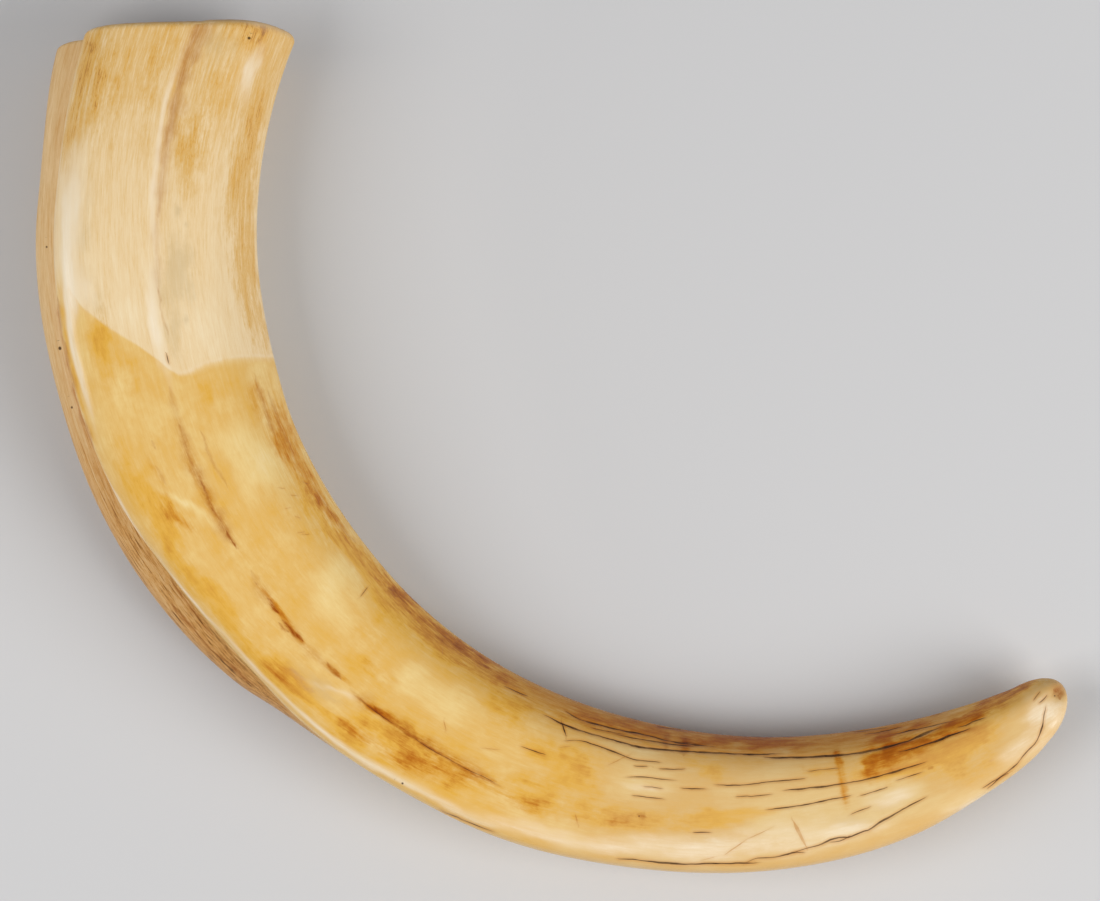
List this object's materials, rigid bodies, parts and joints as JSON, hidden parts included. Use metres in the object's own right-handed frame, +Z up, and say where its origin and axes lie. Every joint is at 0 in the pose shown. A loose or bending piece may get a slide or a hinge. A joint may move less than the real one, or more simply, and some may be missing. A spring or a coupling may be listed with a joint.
{
  "type": "warthog tusk",
  "caption": "Long curved warthog tusk of aged, polished ivory, lying on its side, with a furrowed outer edge, an open root cavity, fine age cracks and a worn tip.",
  "frame": {"origin": "middle of the bounding box, on the surface that the tusk lies on", "axes": "+X from the bend of the curve towards the tip, +Y from the bend towards the cut root end, +Z up from the surface; the tusk's curve lies in the XY plane"},
  "size_m": [0.2328, 0.1914, 0.0362],
  "materials": {
    "ivory": "polished aged ivory, cream to amber, with brown streaks and dark cracks"
  },
  "bodies": {
    "root": {"tusk": "ivory"}
  },
  "joints": []
}
